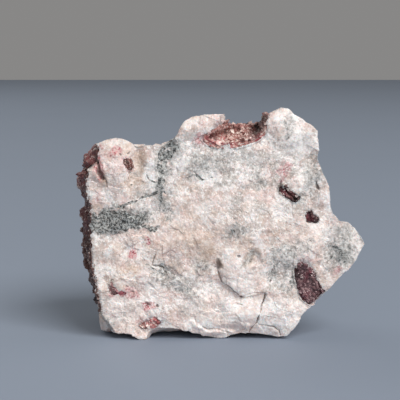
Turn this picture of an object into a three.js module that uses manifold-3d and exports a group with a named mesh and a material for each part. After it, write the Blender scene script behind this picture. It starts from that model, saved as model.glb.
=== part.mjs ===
// Cobaltoan calcite specimen: a broken block of pale pink granular calcite that stands on its
// broken underside, with rose-red calcite crystals lining its pockets and crusting its left face.
//
// Frame, in millimetres: X to the right, Y from the broken front face to the back, Z up. The
// origin is the bottom centre of the bounding box, on the surface that the block stands on.
//
// The block is what a rough prism through the front face's outline and a slab between the rough
// front and back faces have in common, with a few corners broken off. The pockets are then cut
// out of it, and each crust of crystals fills the outer layer of its pocket.

import * as THREE from "three";
import { mergeVertices } from "three/addons/utils/BufferGeometryUtils.js";
import Module from "manifold-3d";

const wasm = await Module();
wasm.setup();

// ---------------------------------------------------------------- driving dimensions

const DEPTH = 44; // front face to back face
const FRONT_Y = -DEPTH / 2;
const CRUST_GAP = 0.3; // between each crust and the stone that it grows on

// The broken front face's outline as x, z pairs, clockwise from the top left corner.
const OUTLINE = [
  [-42.7, 69.5], [-40.5, 70.6], [-35.5, 71.6], [-32.5, 70.6], [-30, 69.3], [-25, 69.2], [-21, 68],
  [-19, 69.6], [-17, 71.6], [-15.5, 71.6], [-14, 73.5], [-12.5, 77], [-11, 78.2], [-7, 78.6],
  [-3, 79.3], [6.5, 79.5], [16.5, 79.8], [18.5, 81.4], [21.5, 82.2], [23.5, 81.6], [25.5, 79.2],
  [28.5, 77.6], [31.5, 75.5], [33.7, 73], [33.8, 68.5], [33.4, 64], [35.5, 58.5], [38.2, 52.4],
  [37.6, 50], [39, 44.3], [41, 42.3], [44, 42], [46.5, 40], [50.5, 34.5], [48.5, 31], [47, 28],
  [45, 25.6], [42.5, 23.6], [37.5, 17.8], [31.5, 11.5], [29, 9.3], [27.5, 6.5], [24, 1.5],
  [22, 0.2], [14.5, 1.6], [3.5, 1.8], [-0.5, 0.2], [-4.5, 0.8], [-13, 3.3], [-18, 4],
  [-24.5, 3.4], [-26, 0.6], [-28, -0.8], [-30, 1.6], [-35.5, 2], [-39, 2.6], [-42, 5],
  [-42.6, 10], [-43.6, 16], [-44.8, 21], [-46.2, 28], [-46.4, 34], [-45.8, 41], [-46, 47.5],
  [-47.2, 51.5], [-47.7, 57.5], [-46.4, 59.7], [-42.8, 60.4], [-42.7, 65],
];
const AROUND = 95; // points round the outline
const SIDE_STEPS = [-8, 0, 3, 6.5, 11, 16, 22, 28.5, 35, 41.5, 51]; // behind the front face

// How far the left side stands out behind the front face's edge, as height, distance pairs.
const LEFT_FLARE = [
  [4, 1.5], [20, 2], [30, 2.6], [38, 4], [44, 4], [46.5, 2.6], [51.5, 2.6], [56, 4.4],
  [59.5, 4.6], [61.5, 7], [66, 5.4], [69, 2], [72, 1],
];
const RIGHT_TAPER = 9; // how much further in the right side stands at the back
const TOP_DROP = 9.5; // how much lower the top is at the back
const UNDERSIDE_DROP = 2.6; // how much further down the rough underside reaches behind its edge
const TOP_SKEW = 6; // how much further left the top's ridges stand at the back
const TIP_DROP = 4; // how much lower the right side's tip stands at the back
const SADDLE = { x: 7.5, halfWidth: 9, drop: 2 }; // the dip in the top behind the top pocket
const FACE_CELLS = [27, 22]; // cells across and up the rough front and back faces

// Flat breaks across the block's corners: a point on each, and the way that it faces.
const BREAKS = [
  { at: [-40.2, FRONT_Y, 7.2], facing: [-0.72, -0.42, -0.55] },
  { at: [-38, 19, 56], facing: [-0.45, 0.7, 0.55] },
  { at: [33, 18, 44], facing: [0.7, 0.7, 0.1] },
  { at: [4, 20, 9], facing: [0.1, 0.85, -0.52] },
  { at: [12, 19, 68], facing: [0.15, 0.62, 0.77] },
];

// Pockets that crystals line, each made of one or more rounded lobes. A lobe is centred at x, z
// and so far behind the front face. reach is its half-size along x, y and z before turn, in
// degrees, tips it about the Y axis. coat is the thickness of the crust inside the lobes.
const POCKETS = {
  top_pocket_crystals: {
    coat: 1.5,
    lobes: [
      { at: [4.7, 72.9], behind: 4.5, reach: [11.8, 11, 5.3], turn: -9, detail: 3 },
      { at: [7.7, 79.4], behind: 5, reach: [9.4, 13, 7.2], turn: 0, detail: 2 },
    ],
  },
  lower_right_pocket_crystals: {
    coat: 1.4,
    lobes: [
      { at: [29.9, 20.5], behind: 0.4, reach: [3.9, 3.6, 8.2], turn: -19, detail: 2 },
      { at: [33.2, 16.8], behind: 0.6, reach: [3.6, 3.2, 3], turn: 35, detail: 1 },
    ],
  },
  slot_vug_crystals: {
    coat: 0.8,
    lobes: [
      { at: [23.2, 51.8], behind: 0.6, reach: [1.5, 3.4, 3.7], turn: -56, detail: 1 },
      { at: [25.4, 50.1], behind: 0.6, reach: [1.7, 3.2, 2.1], turn: -60, detail: 0 },
    ],
  },
  right_vug_crystals: {
    coat: 0.8,
    lobes: [
      { at: [30.4, 44.1], behind: 0.3, reach: [1.8, 2.6, 2.4], turn: -12, detail: 1 },
      { at: [32.1, 43.1], behind: 0.3, reach: [2.1, 2.2, 1.4], turn: 28, detail: 0 },
    ],
  },
  upper_left_vug_crystals: {
    coat: 0.7,
    lobes: [
      { at: [-32.5, 62.6], behind: 0.2, reach: [1.7, 2.1, 2], turn: -25, detail: 1 },
      { at: [-31.4, 61.1], behind: 0.2, reach: [1.2, 2, 1.3], turn: 0, detail: 0 },
    ],
  },
  lower_left_vug_crystals: {
    coat: 0.8,
    lobes: [
      { at: [-37.7, 18.2], behind: 0.2, reach: [1.7, 2, 2.5], turn: -18, detail: 1 },
      { at: [-35.1, 17], behind: 0.2, reach: [2.3, 1.8, 1.4], turn: 18, detail: 0 },
    ],
  },
  base_notch_crystals: {
    coat: 0.8,
    lobes: [
      { at: [-23.9, 6.3], behind: 0.3, reach: [2.7, 2.9, 2.1], turn: -10, detail: 1 },
      { at: [-26.6, 5.3], behind: 0.3, reach: [2.4, 2.2, 1.4], turn: -18, detail: 0 },
    ],
  },
};

// The left side's crust: thin where the front face cuts it, thicker behind, and fading out
// towards the back, the top and the foot of the block, where its edge wanders.
const LEFT_CRUST = { front: 0.8, full: 2.8, depthToFull: 9, backY: 13, topZ: 72, footZ: 6 };
const CRUST_NARROWING = 7; // how much further in its top and foot edges lie at the back

const STONE_COLOUR = 0xd6c6be;
const CRUST_COLOUR = 0x5c3a3e;
const ROSE_COLOUR = 0x8c4a4e;

// ---------------------------------------------------------------- repeatable noise

// A number from 0 to 1 that is always the same for the same lattice point.
function hash(i, j, k, seed) {
  const n = Math.sin(i * 127.1 + j * 311.7 + k * 74.7 + seed * 53.3) * 43758.5453;
  return n - Math.floor(n);
}

// Smooth noise from -1 to 1, with bumps about size millimetres across.
function noise(x, y, z, size, seed) {
  const p = [x / size, y / size, z / size];
  const base = p.map(Math.floor);
  const ease = p.map((value, axis) => smooth(0, 1, value - base[axis]));
  let sum = 0;
  for (let corner = 0; corner < 8; corner++) {
    const step = [corner & 1, (corner >> 1) & 1, corner >> 2];
    const weight = step.reduce((w, on, axis) => w * (on ? ease[axis] : 1 - ease[axis]), 1);
    sum += weight * hash(base[0] + step[0], base[1] + step[1], base[2] + step[2], seed);
  }
  return 2 * sum - 1;
}

// Eases from 0 to 1 as value goes from one limit to the other, whichever is the larger.
function smooth(from, to, value) {
  const t = THREE.MathUtils.clamp((value - from) / (to - from), 0, 1);
  return t * t * (3 - 2 * t);
}

// The value at x of a line through [x, value] pairs in order of x, level beyond its ends.
function along(pairs, x) {
  let i = 0;
  while (i < pairs.length - 2 && pairs[i + 1][0] < x) i++;
  const [[x0, value0], [x1, value1]] = [pairs[i], pairs[i + 1]];
  return value0 + (value1 - value0) * THREE.MathUtils.clamp((x - x0) / (x1 - x0), 0, 1);
}

// ---------------------------------------------------------------- solids

// A three.js geometry as a manifold solid, with its shared vertices merged.
function solidOf(geometry) {
  const bare = geometry.index ? geometry.toNonIndexed() : geometry.clone();
  bare.deleteAttribute("normal");
  bare.deleteAttribute("uv");
  const merged = mergeVertices(bare, 1e-4);
  return new wasm.Manifold(
    new wasm.Mesh({
      numProp: 3,
      vertProperties: new Float32Array(merged.attributes.position.array),
      triVerts: new Uint32Array(merged.index.array),
    }),
  );
}

// The largest body of a solid as a named mesh, so that no crumb is left over by a cut.
function meshOf(name, solid, material) {
  const body = solid.decompose().sort((a, b) => b.volume() - a.volume())[0];
  const mesh = body.getMesh();
  const geometry = new THREE.BufferGeometry();
  geometry.setAttribute("position", new THREE.BufferAttribute(mesh.vertProperties, 3));
  geometry.setIndex(new THREE.BufferAttribute(mesh.triVerts, 1));
  geometry.computeVertexNormals();
  const made = new THREE.Mesh(geometry, material);
  made.name = name;
  return made;
}

// A closed prism from rings of equally many points, with a fan to a point at each end.
function closedRings(first, rings, last) {
  const count = rings[0].length;
  const points = [first, ...rings.flat(), last];
  const at = (ring, i) => 1 + ring * count + (i % count);
  const faces = [];
  for (let i = 0; i < count; i++) {
    faces.push(0, at(0, i + 1), at(0, i));
    for (let ring = 0; ring + 1 < rings.length; ring++) {
      faces.push(at(ring, i), at(ring + 1, i + 1), at(ring + 1, i));
      faces.push(at(ring, i), at(ring, i + 1), at(ring + 1, i + 1));
    }
    faces.push(at(rings.length - 1, i), at(rings.length - 1, i + 1), points.length - 1);
  }
  const geometry = new THREE.BufferGeometry().setFromPoints(points);
  geometry.setIndex(faces);
  return geometry;
}

// ---------------------------------------------------------------- the whole block

// The outline resampled to AROUND points, evenly spaced along it.
function outlinePoints() {
  const path = new THREE.CurvePath();
  const corners = OUTLINE.map(([x, z]) => new THREE.Vector2(x, z));
  corners.forEach((corner, i) => {
    path.add(new THREE.LineCurve(corner, corners[(i + 1) % corners.length]));
  });
  return path.getSpacedPoints(AROUND).slice(0, AROUND);
}

// Where the left side stands at this depth and height, left of the front face's edge.
function leftFlare(y, z) {
  const reached = smooth(0, z > 59 ? 8 : 14, y - FRONT_Y);
  return along(LEFT_FLARE, z) * reached;
}

// The outline with its bumps evened out, which the sides fade to behind the front face.
function evened(outline) {
  return outline.map((_, i) => {
    const around = [-7, -5, -3, -1, 1, 3, 5, 7].map((step) => outline.at((i + step) % AROUND));
    return around.reduce((sum, point) => sum.add(point), new THREE.Vector2()).divideScalar(8);
  });
}

// A point of the outline carried back to step millimetres behind the front face. even is the
// same point of the evened outline.
function sidePoint(corner, even, step) {
  const y = FRONT_Y + step;
  const depth = THREE.MathUtils.clamp(step / DEPTH, 0, 1.2);
  const free = smooth(-39, -31, corner.x); // the left side keeps its own shape for its crust
  let { x, y: z } = corner.clone().lerp(even, 0.8 * free * smooth(7, 34, step));
  x -= TOP_SKEW * depth * free * smooth(50, 72, z);
  z -= TIP_DROP * depth * smooth(26, 42, x) * smooth(12, 30, z) * smooth(62, 50, z);
  x -= leftFlare(y, z) * smooth(-30, -41, x);
  x -= RIGHT_TAPER * depth * smooth(5, 42, x);
  z -= TOP_DROP * depth * smooth(35, 75, z);
  z -= UNDERSIDE_DROP * smooth(1, 12, step) * smooth(16, 3, z);
  const beside = Math.abs(x - SADDLE.x) / SADDLE.halfWidth;
  z -= SADDLE.drop * smooth(2, 12, step) * smooth(1.3, 0.7, beside) * smooth(68, 74, z);
  const hollow = 0.07 * Math.max(0, noise(x, y, z, 15, 15)) * smooth(2, 9, step) * smooth(-38, -28, x);
  const rounded = 1 - 0.1 * smooth(0.75, 1.1, depth) - hollow;
  x *= rounded;
  z = 38 + (z - 38) * rounded;

  const rough = smooth(0, 5, step) * (1 - 0.5 * smooth(55, 70, z));
  const lump = (seed) => 1.2 * noise(x, y, z, 9, seed) + 0.8 * noise(x, y, z, 4.5, seed + 1);
  return new THREE.Vector3(x + rough * lump(7), y, z + rough * lump(9));
}

function prism() {
  const outline = outlinePoints();
  const even = evened(outline);
  const rings = SIDE_STEPS.map((step) => outline.map((corner, i) => sidePoint(corner, even[i], step)));
  const end = (step) => new THREE.Vector3(-3, FRONT_Y + step, 38);
  return solidOf(closedRings(end(SIDE_STEPS[0]), rings, end(SIDE_STEPS.at(-1))));
}

// How the broken front face stands proud of (negative) or behind its flat mean.
function frontRelief(x, z) {
  const swell = -1.8 * Math.exp(-(((x - 4) / 30) ** 2) - ((z - 36) / 24) ** 2);
  const knob = -1.2 * Math.exp(-(((x + 36) / 9) ** 2) - ((z - 62) / 9) ** 2);
  const undercut = 2 * smooth(8, 0, z) * smooth(-20, -5, x);
  const topEdge = 1.2 * smooth(74, 80, z);
  const lumps = 0.7 * noise(x, 0, z, 11, 3) + 0.5 * noise(x, 0, z, 4.5, 4);
  return swell + knob + undercut + topEdge + lumps;
}

// How the back face stands proud of (positive) or behind its flat mean, more coarsely.
function backRelief(x, z) {
  return 2.4 * noise(x, 0, z, 19, 5) + 1.2 * noise(x, 0, z, 8, 6) - 0.05 * Math.abs(x + 8);
}

// The slab between the rough front and back faces, wider and taller than the block.
function slab() {
  const [across, up] = FACE_CELLS;
  const geometry = new THREE.BoxGeometry(2, 2, 2, across, 1, up);
  const at = geometry.attributes.position;
  for (let i = 0; i < at.count; i++) {
    let x = THREE.MathUtils.mapLinear(at.getX(i), -1, 1, -58, 58);
    let z = THREE.MathUtils.mapLinear(at.getZ(i), -1, 1, -8, 90);
    const shift = 1.1;
    [x, z] = [x + shift * noise(x, 0, z, 2.3, 21), z + shift * noise(x, 0, z, 2.3, 22)];
    const front = at.getY(i) < 0;
    at.setXYZ(i, x, front ? FRONT_Y + frontRelief(x, z) : -FRONT_Y + backRelief(x, z), z);
  }
  return solidOf(geometry);
}

// What is broken off at one of the breaks, its surface slightly rough.
function brokenOff({ at: [x, y, z], facing }) {
  const [size, cells] = [120, 12];
  const geometry = new THREE.BoxGeometry(size, size, size, cells, cells, 1);
  const at = geometry.attributes.position;
  for (let i = 0; i < at.count; i++) {
    const inner = at.getZ(i) < 0 ? 0.5 * noise(at.getX(i), at.getY(i), x, 6, 31) : 0;
    at.setZ(i, at.getZ(i) + size / 2 + inner);
  }
  const ahead = new THREE.Vector3(...facing).normalize();
  const turn = new THREE.Quaternion().setFromUnitVectors(new THREE.Vector3(0, 0, 1), ahead);
  geometry.applyQuaternion(turn);
  return solidOf(geometry.translate(x, y, z));
}

// Everything below the resting plane, which wears the underside's lowest points flat.
function belowFloor() {
  return solidOf(new THREE.BoxGeometry(200, 200, 40).translate(0, 0, -20));
}

function block() {
  return BREAKS.reduce(
    (solid, broken) => solid.subtract(brokenOff(broken)),
    prism().intersect(slab()).subtract(belowFloor()),
  );
}

// ---------------------------------------------------------------- pockets and crusts

// A rough rounded lobe of a pocket, its surface moved inwards by inset millimetres.
function lobe({ at: [x, z], behind, reach, turn, detail }, inset) {
  const geometry = new THREE.IcosahedronGeometry(1, detail);
  const points = geometry.attributes.position;
  const point = new THREE.Vector3();
  for (let i = 0; i < points.count; i++) {
    point.fromBufferAttribute(points, i).normalize();
    const rough = 1 + 0.14 * noise(point.x, point.y, point.z, 0.7, x);
    const scale = reach.map((half) => half * rough - inset);
    points.setXYZ(i, point.x * scale[0], point.y * scale[1], point.z * scale[2]);
  }
  geometry.rotateY(THREE.MathUtils.degToRad(turn));
  return solidOf(geometry.translate(x, FRONT_Y + frontRelief(x, z) + behind, z));
}

// A whole pocket, its surface moved inwards by inset millimetres.
function pocket({ lobes }, inset) {
  return lobes.map((form) => lobe(form, inset)).reduce((all, one) => all.add(one));
}

// Whether the left side's crust covers this depth and height, from 1 easing to 0 past its edge.
function crustCover(y, z) {
  const { backY, topZ, footZ } = LEFT_CRUST;
  const behind = smooth(4, 30, y - FRONT_Y);
  const wander = (seed) => 5.5 * noise(0, y, z, 14, seed) + 2.5 * noise(0, y, z, 7, seed + 1);
  const back = backY + wander(41);
  const top = topZ - behind * (CRUST_NARROWING + wander(43));
  const foot = footZ + behind * (CRUST_NARROWING + wander(45));
  return smooth(back + 5, back - 2, y) * smooth(top + 2, top - 4, z) * smooth(foot - 3, foot + 4, z);
}

// How far right the left side's crust reaches, at this depth and height.
function crustEdge(y, z) {
  const leftSide = OUTLINE.filter(([x, height]) => x < -41.9 && height < 69);
  const edge = along(leftSide.map(([x, height]) => [height, x]), z) - leftFlare(y, z);
  const { front, full, depthToFull } = LEFT_CRUST;
  const thick = front + (full - front) * smooth(0, depthToFull, y - FRONT_Y);
  return edge + thick - 7 * (1 - crustCover(y, z));
}

// Everything left of the crust's edge, moved right by grow.
function leftOfCrust(grow) {
  const [alongY, alongZ] = [16, 24];
  const [lowY, highY, lowZ, highZ, outX] = [FRONT_Y - 8, -FRONT_Y + 8, -6, 92, -90];
  const geometry = new THREE.BoxGeometry(2, 2, 2, 1, alongY, alongZ);
  const at = geometry.attributes.position;
  for (let i = 0; i < at.count; i++) {
    const y = THREE.MathUtils.mapLinear(at.getY(i), -1, 1, lowY, highY);
    const z = THREE.MathUtils.mapLinear(at.getZ(i), -1, 1, lowZ, highZ);
    const rough = 0.4 * noise(0, y, z, 7, 12);
    at.setXYZ(i, at.getX(i) < 0 ? outX : crustEdge(y, z) + rough + grow, y, z);
  }
  return solidOf(geometry);
}

// ---------------------------------------------------------------- the specimen

const stone = new THREE.MeshStandardMaterial({ color: STONE_COLOUR, roughness: 0.75 });
const crust = new THREE.MeshStandardMaterial({ color: CRUST_COLOUR, roughness: 0.4 });
const rose = new THREE.MeshStandardMaterial({ color: ROSE_COLOUR, roughness: 0.35 });

const whole = block();
let matrix = whole.subtract(leftOfCrust(CRUST_GAP));
const pocketCrusts = Object.entries(POCKETS).map(([name, form]) => {
  matrix = matrix.subtract(pocket(form, 0));
  const coat = whole.intersect(pocket(form, CRUST_GAP)).subtract(pocket(form, form.coat));
  return meshOf(name, coat, rose);
});

const specimen = new THREE.Group();
specimen.add(meshOf("matrix", matrix, stone));
specimen.add(meshOf("left_face_crust", whole.intersect(leftOfCrust(0)), crust));
specimen.add(...pocketCrusts);

// The origin goes to the bottom centre of the bounding box.
const bounds = new THREE.Box3().setFromObject(specimen);
const middle = bounds.getCenter(new THREE.Vector3());
specimen.position.set(-middle.x, -middle.y, -bounds.min.z);

export default specimen;
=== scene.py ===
"""Looks of the cobaltoan calcite specimen, built round its CAD frame.

The stone is the CAD block remeshed finely, broken into grains, facets, cracks and ledges, and
coloured by named patches. Each crust carries a druse: many small pointed crystals on a rough
ground. Lengths here are in millimetres, in the same frame as the CAD, and are turned into metres
where meshes are written. Every noise has a seed of its own, so that no two of them match.
"""

import itertools
import math

import bpy
import numpy as np
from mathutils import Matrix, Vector
from mathutils.bvhtree import BVHTree


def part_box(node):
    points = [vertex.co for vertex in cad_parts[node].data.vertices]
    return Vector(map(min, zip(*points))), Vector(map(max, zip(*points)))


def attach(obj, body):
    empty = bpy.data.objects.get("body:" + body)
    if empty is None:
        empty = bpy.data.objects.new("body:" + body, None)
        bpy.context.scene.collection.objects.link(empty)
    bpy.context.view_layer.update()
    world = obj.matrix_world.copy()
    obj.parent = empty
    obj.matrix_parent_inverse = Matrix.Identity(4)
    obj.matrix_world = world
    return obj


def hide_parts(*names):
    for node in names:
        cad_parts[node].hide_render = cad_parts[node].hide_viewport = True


MM = 0.001

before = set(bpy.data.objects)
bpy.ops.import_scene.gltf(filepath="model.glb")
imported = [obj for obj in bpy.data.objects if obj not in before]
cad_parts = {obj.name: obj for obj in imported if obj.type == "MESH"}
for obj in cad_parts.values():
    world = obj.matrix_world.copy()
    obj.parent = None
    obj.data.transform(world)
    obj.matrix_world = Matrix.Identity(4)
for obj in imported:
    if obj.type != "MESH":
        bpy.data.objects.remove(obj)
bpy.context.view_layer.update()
FACE_RELIEF = 2.4  # how far the front face's foremost point stands before its mean plane
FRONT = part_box("matrix")[0][1] / MM + FACE_RELIEF

# -------- noise on arrays of points


def lattice(cell, seed):
    """A repeatable number from -1 to 1 for each whole-number lattice point."""
    i, j, k = (cell[:, axis].astype(np.int64) for axis in range(3))
    n = (i * 73856093) ^ (j * 19349663) ^ (k * 83492791) ^ (seed * 26544357)
    n = (((n ^ (n >> 13)) & 0xFFFFFFF) * 1274126177) & 0xFFFFFFFF
    n = (((n ^ (n >> 15)) & 0xFFFFFFF) * 668265263) & 0xFFFFFFFF
    return ((n ^ (n >> 14)) & 0xFFFFFF) / 0x7FFFFF - 1.0


def ease(t):
    """Turns an even rise from 0 to 1 into one that starts and ends gently."""
    return t * t * (3 - 2 * t)


def smooth(start, end, value):
    """Eases from 0 to 1 as value goes from start to end, whichever is the larger."""
    return ease(np.clip((value - start) / (end - start), 0, 1))


def noise(points, size, seed):
    """Smooth noise from -1 to 1, with bumps about size across."""
    scaled = points / size
    base = np.floor(scaled)
    part = ease(scaled - base)
    total = np.zeros(len(points))
    for corner in itertools.product((0, 1), repeat=3):
        weight = np.prod(np.where(np.array(corner) == 1, part, 1 - part), axis=1)
        total += weight * lattice(base + corner, seed)
    return total


def fractal(points, size, seed):
    """Noise with two layers of finer detail added, from about -1 to 1."""
    layers = (noise(points, size / 2**i, seed + i) / 2**i for i in range(3))
    return sum(layers) / 1.75 * 1.4


def grains(points, size, seed):
    """For each point: the way from its grain's centre, its grain's lattice cell, and how far it
    is from the next grain, all in grain sizes."""
    scaled = points / size
    base = np.floor(scaled)
    nearest = np.full(len(points), np.inf)
    second = np.full(len(points), np.inf)
    way = np.zeros_like(points)
    home = np.zeros_like(points)
    for step in itertools.product((-1, 0, 1), repeat=3):
        cell = base + step
        jitter = np.stack([lattice(cell, seed + axis) for axis in range(3)], axis=1)
        to = scaled - (cell + 0.5 + 0.42 * jitter)
        distance = np.sqrt((to**2).sum(axis=1))
        closer = distance < nearest
        second = np.where(closer, nearest, np.minimum(second, distance))
        nearest = np.where(closer, distance, nearest)
        way[closer] = to[closer]
        home[closer] = cell[closer]
    return way, home, second - nearest


def facets(points, size, seed):
    """Heights, about -1 to 1, of a surface broken into flat tilted faces about size across."""
    way, home, _ = grains(points, size, seed)
    tilt = np.stack([lattice(home, seed + 5 + axis) for axis in range(3)], axis=1)
    return 0.55 * lattice(home, seed + 4) + 1.1 * (way * tilt).sum(axis=1)


def grain_relief(points, size, seed):
    """Heights, about -1 to 1, of packed grains with tilted tops and creases between them."""
    crease = 0.6
    way, home, gap = grains(points, size, seed)
    tilt = np.stack([lattice(home, seed + 5 + axis) for axis in range(3)], axis=1)
    top = 0.5 * lattice(home, seed + 4) + (way * tilt).sum(axis=1)
    inside = np.clip(gap / 0.3, 0, 1)
    return (top + crease) * inside - crease / 2


# -------- places on the front face

# Each patch is (x, z, half width, half height, tilt in degrees, strength): an ellipse on the
# front face, whose edge is then roughened.
SLATE_PATCHES = [
    (-37.6, 42.0, 8.0, 4.4, 6, 1.0),
    (-29.4, 41.6, 5.6, 2.6, 10, 0.85),
    (-24.6, 39.8, 4.4, 1.0, 8, 0.8),
    (42.6, 29.8, 3.4, 4.0, -15, 0.54),
    (26.0, 20.6, 1.4, 4.6, -20, 0.55),
]
GREY_PATCHES = [
    (-34.0, 42.4, 11.0, 5.2, 6, 0.75),
    (-16.4, 67.6, 4.0, 5.4, -20, 0.85),
    (-19.0, 60.0, 2.6, 4.6, 10, 0.75),
    (-20.5, 54.4, 1.2, 3.0, 0, 0.75),
    (-18.2, 46.6, 2.2, 5.0, 25, 0.7),
    (-4.5, 61.4, 6.0, 3.0, 0, 0.6),
    (24.4, 74.5, 2.4, 4.2, -10, 0.65),
    (33.5, 60.0, 4.4, 5.6, 0, 0.6),
    (14.9, 54.7, 2.6, 2.8, 0, 0.6),
    (5.6, 38.5, 5.0, 3.0, 10, 0.65),
    (10.6, 28.8, 1.7, 3.8, -35, 0.75),
    # This patch is partly the hollow's grey, partly painted shade in the hollow.
    (-18.4, 24.6, 3.0, 2.4, -30, 0.85),
    (-18.9, 22.9, 5.6, 4.2, -25, 0.7),
    (-11.8, 17.8, 4.6, 2.4, -25, 0.6),
    (-6.2, 26.3, 3.0, 2.4, 0, 0.62),
    (22.1, 24.5, 4.8, 6.6, 0, 0.62),
    (25.2, 31.5, 5.0, 2.8, 0, 0.6),
    (42.2, 30.3, 5.6, 6.0, -15, 0.75),
    (30.2, 34.0, 4.4, 2.2, 0, 0.55),
    (45.0, 38.0, 4.6, 3.4, -35, 0.62),
    (22.0, 54.4, 1.6, 2.4, 0, 0.6),
    # This patch is partly the chipped corner's grey, partly painted shade on its face that turns
    # from the light.
    (-40.2, 5.0, 3.2, 4.4, 0, 0.8),
]
# Broad areas where the mottling is cooler, with more white and grey, or warmer.
COOL_AREAS = [
    (2.0, 62.0, 22.0, 9.0, 0, 1.0),
    (26.0, 60.0, 10.0, 16.0, 0, 0.9),
    (8.0, 46.0, 12.0, 6.0, 0, 0.7),
    (-10.0, 18.0, 12.0, 8.0, -20, 0.7),
    (22.0, 24.0, 9.0, 10.0, 0, 0.9),
    (44.0, 33.0, 8.0, 9.0, 0, 1.0),
    (-22.0, 55.0, 7.0, 14.0, 0, 1.0),
]
WARM_AREAS = [
    (-12.0, 38.0, 16.0, 8.0, 5, 1.0),
    (-30.0, 62.0, 6.0, 9.0, 0, 0.8),
    (24.0, 42.0, 10.0, 5.0, 0, 0.6),
    (12.0, 28.0, 8.0, 8.0, 0, 0.5),
    (-34.0, 10.0, 8.0, 8.0, 0, 0.5),
]
# Areas that broke along larger, smoother crystals, where the mottling is fainter.
CALM_AREAS = [
    (6.0, 7.0, 20.0, 9.0, 0, 1.0),
    (7.4, 23.4, 5.8, 6.6, 25, 0.9),
    (-11.0, 40.0, 14.0, 9.0, 0, 0.5),
    (-34.0, 11.0, 9.0, 8.0, 0, 0.7),
    (-35.0, 63.0, 7.0, 7.0, 0, 0.5),
    (30.0, 39.5, 10.0, 5.0, 0, 0.6),
    (27.0, 12.0, 4.0, 6.0, 0, 0.6),
]
WHITE_PATCHES = [
    (-22.9, 59.0, 2.8, 5.0, 0, 1.0),
    (-13.4, 62.8, 2.8, 3.4, 0, 1.0),
    (-4.7, 57.0, 3.8, 2.7, 0, 1.0),
    (7.2, 11.5, 8.5, 6.0, 0, 0.72),
    (18.6, 9.0, 5.5, 6.5, 0, 0.95),
    (24.5, 6.5, 5.0, 5.5, 0, 0.95),
    (-5.8, 5.2, 7.5, 2.4, -8, 0.8),
    (23.7, 77.0, 6.0, 3.4, 0, 0.8),
    (-9.3, 76.5, 5.0, 2.0, 0, 0.5),
    (-30.3, 71.0, 5.0, 2.0, 0, 0.4),
    (-24.3, 24.0, 4.0, 6.0, 0, 0.4),
    (7.4, 23.6, 5.6, 6.4, 25, 0.62),
    (38.2, 46.8, 1.3, 5.0, 8, 0.8),
    (39.8, 38.8, 3.0, 2.6, 0, 0.6),
    (30.0, 57.0, 3.0, 3.0, 0, 0.5),
    (-35.0, 10.5, 7.0, 6.0, 0, 0.5),
    (27.0, 10.0, 3.0, 6.0, -20, 0.5),
    (-22.5, 14.5, 6.0, 5.0, 0, 0.4),
    (26.5, 70.0, 6.5, 6.0, 0, 0.74),
    (11.0, 64.0, 6.0, 2.0, 0, 0.42),
    (36.0, 40.0, 5.0, 3.0, 0, 0.42),
    (0.0, 49.5, 5.0, 2.6, 15, 0.4),
    (-33.5, 52.0, 6.5, 2.4, 8, 0.42),
]
ROSE_PATCHES = [
    (-35.2, 66.3, 2.4, 1.8, 20, 0.85),
    (-31.9, 63.9, 1.4, 1.0, 20, 0.6),
    (-2.5, 70.8, 2.8, 2.3, 0, 1.0),
    (-6.0, 70.2, 2.6, 2.4, 0, 0.7),
    (23.0, 60.4, 2.4, 3.0, -35, 0.64),
    (21.7, 57.2, 0.8, 1.6, -20, 0.55),
    (-37.5, 63.0, 6.0, 6.0, 0, 0.33),
    (-32.8, 61.8, 1.6, 2.0, 0, 0.45),
    (-37.8, 16.6, 1.6, 1.2, 0, 0.5),
    (31.4, 29.4, 2.2, 1.2, -20, 0.4),
    (-24.8, 34.8, 1.0, 1.4, 0, 1.0),
    (-30.1, 30.8, 1.3, 2.3, 0, 1.0),
    (-30.7, 16.6, 3.4, 1.8, -10, 0.7),
    (-23.5, 11.9, 2.5, 1.7, 0, 1.0),
    # This patch and the tan one at (-40.1, 57.0) are partly the recess's mauve and brown, partly
    # painted shade along the groove beside it.
    (-41.0, 60.8, 1.8, 5.0, 0, 0.75),
    (-41.3, 51.0, 1.0, 2.6, 0, 0.4),
    (41.6, 24.2, 2.2, 1.2, 35, 0.6),
    (-24.1, 6.0, 5.0, 3.0, 0, 0.5),
]
TAN_PATCHES = [
    (-41.5, 5.5, 3.0, 4.5, 0, 0.7),
    (22.2, 54.0, 1.6, 2.2, 0, 0.6),
    (-26.3, 61.0, 3.0, 6.6, 0, 0.6),
    (-34.0, 67.0, 5.0, 3.5, 0, 0.4),
    (-8.3, 35.6, 8.0, 5.0, 0, 0.45),
    (-6.9, 34.8, 1.9, 0.8, 10, 1.0),
    (13.3, 32.0, 1.6, 1.4, 0, 0.6),
    (0.6, 27.0, 1.6, 1.3, -40, 1.0),
    (10.4, 28.8, 1.8, 4.0, -35, 0.9),
    (-4.0, 31.5, 3.0, 5.0, 0, 0.6),
    # Partly the recess's brown, partly painted shade along the groove beside it.
    (-40.1, 57.0, 2.0, 3.2, 0, 0.7),
    (47.0, 36.0, 3.0, 4.0, 0, 0.25),
    (-18.3, 28.0, 8.0, 5.0, 0, 0.3),
]
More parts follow.
